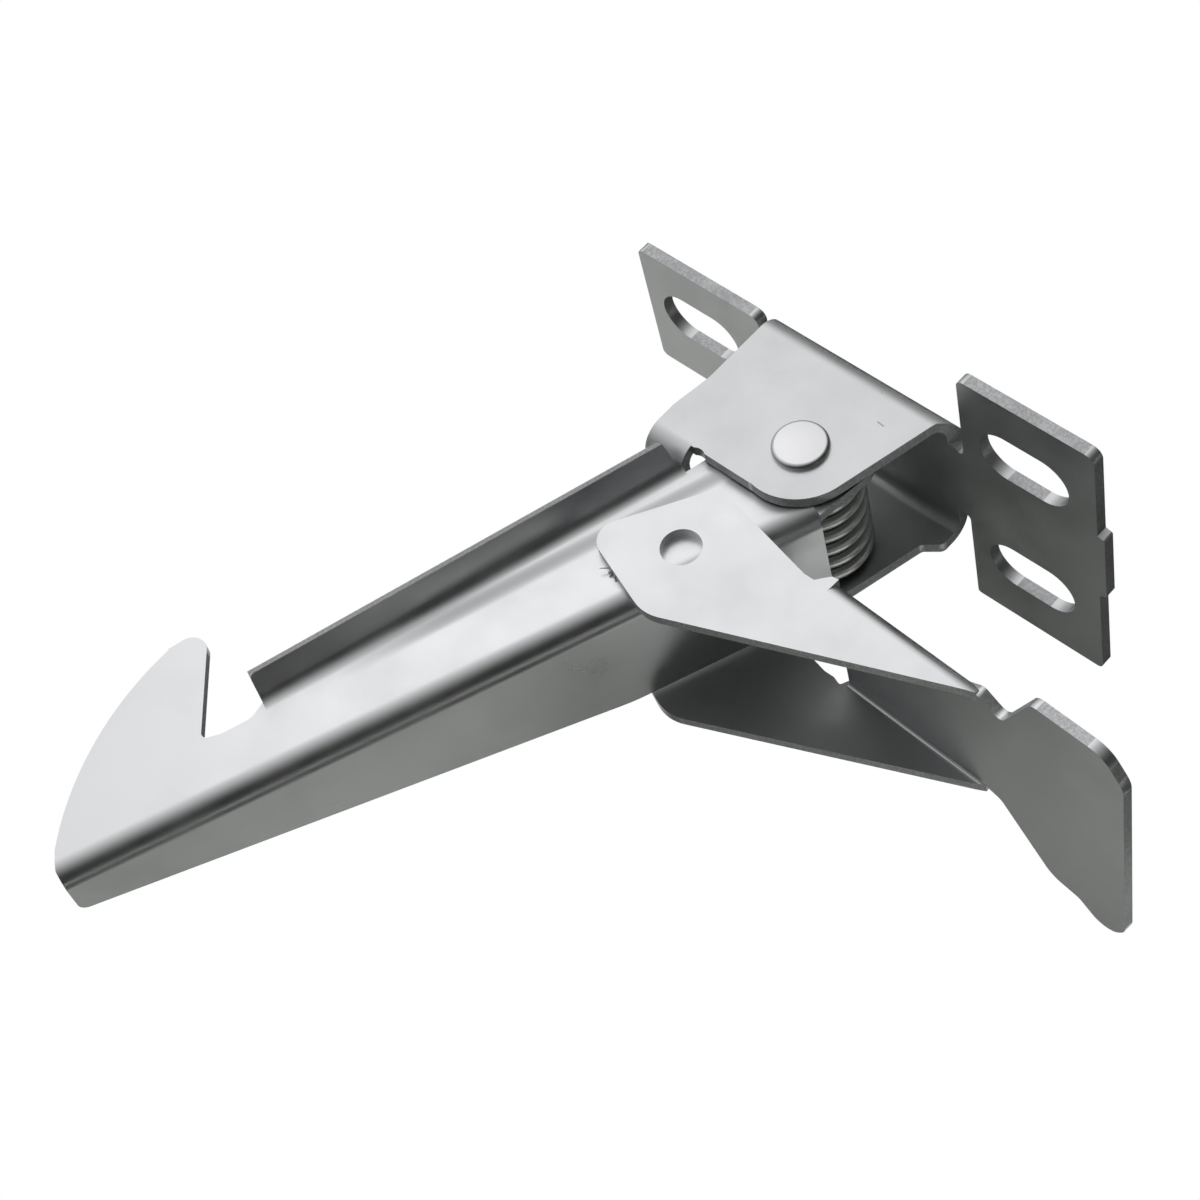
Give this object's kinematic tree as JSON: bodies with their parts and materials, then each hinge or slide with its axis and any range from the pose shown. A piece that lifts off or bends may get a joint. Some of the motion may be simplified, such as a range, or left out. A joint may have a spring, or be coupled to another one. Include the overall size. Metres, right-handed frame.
{
  "type": "hood safety catch",
  "caption": "Folded steel bracket with slotted flanges and two ears, carrying a sprung hook arm with a finger lever on a rivet.",
  "frame": {"origin": "on the mounting face, level with the pivot axis and half way between the two ears", "axes": "+X out of the mounting face towards the hook, +Y towards the flange with two slots, +Z along the pivot axis towards the rivet's head"},
  "size_m": [0.1193, 0.1113, 0.0497],
  "materials": {
    "zinc_sheet": "satin zinc plate",
    "zinc_bright": "satin zinc plate",
    "rivet_steel": "bright zinc plate",
    "bush_steel": "turned steel",
    "spring_steel": "zinc-plated spring wire"
  },
  "bodies": {
    "bracket": {"bracket": "zinc_sheet", "pivot_rivet": "rivet_steel", "spacer_bush": "bush_steel", "return_spring": "spring_steel"},
    "catch": {"hook_arm": "zinc_bright", "finger_lever": "zinc_bright"}
  },
  "joints": [
    {"name": "catch_pivot", "type": "hinge", "parent": "bracket", "child": "catch", "pos_m": [0.01565, 0, 0], "axis": [0, 0, 1], "range_deg": [0, 25], "stiffness_Nm_per_rad": 1.4, "springref_deg": -34.38, "deforming": ["return_spring"]}
  ]
}
